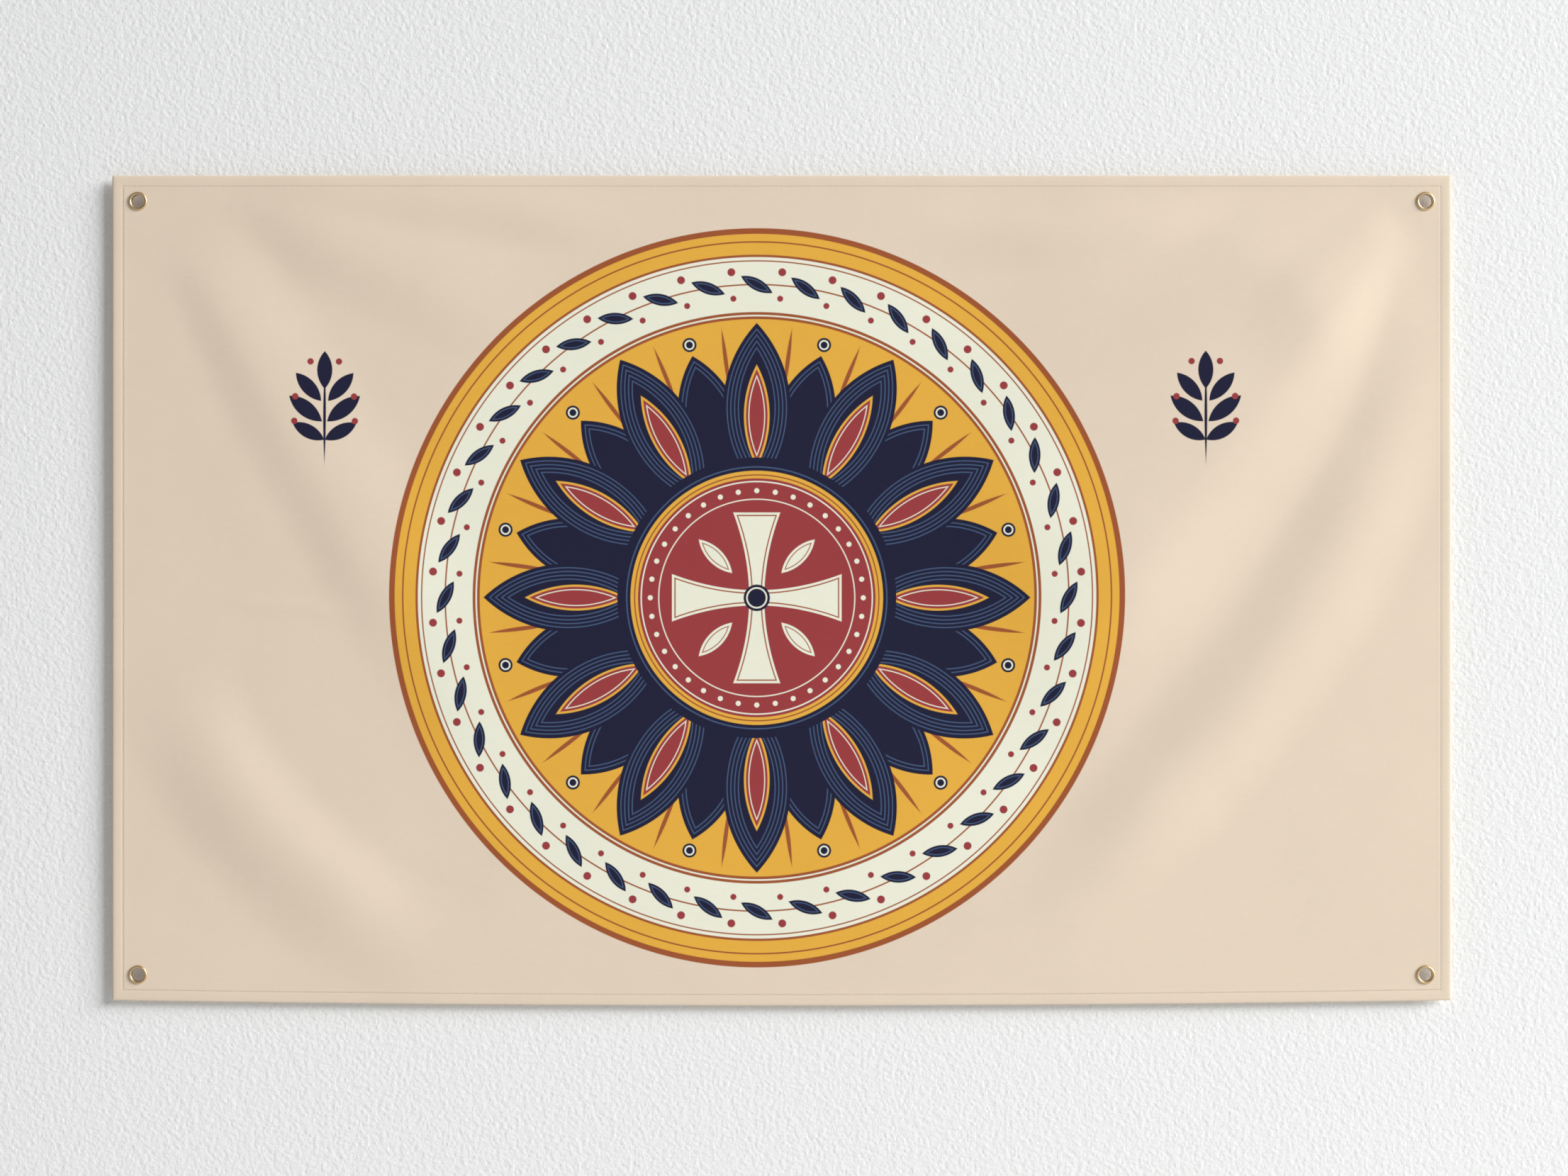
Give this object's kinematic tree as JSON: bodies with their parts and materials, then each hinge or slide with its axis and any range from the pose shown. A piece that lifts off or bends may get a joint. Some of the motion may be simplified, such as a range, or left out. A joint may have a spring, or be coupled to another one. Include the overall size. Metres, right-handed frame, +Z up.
{
  "type": "wall flag",
  "caption": "Wide rectangular wall flag of thin woven cloth with a turned hem on every side and a metal eyelet in each corner, hung flat against a wall.",
  "frame": {"origin": "middle of the top edge, on the cloth's printed front", "axes": "+X to the right of someone who faces the print, -Y out of the print towards them, +Z up"},
  "size_m": [1.422, 0.0144, 0.8816],
  "materials": {
    "cloth": "fine diagonal twill weave, matt, printed on the front",
    "eyelet": "polished, domed"
  },
  "bodies": {
    "root": {"panel": "cloth", "left_strip": "cloth", "right_strip": "cloth", "eyelet_top_left": "eyelet", "eyelet_top_right": "eyelet", "eyelet_bottom_left": "eyelet", "eyelet_bottom_right": "eyelet", "washer_top_left": "eyelet", "washer_top_right": "eyelet", "washer_bottom_left": "eyelet", "washer_bottom_right": "eyelet"}
  },
  "joints": []
}
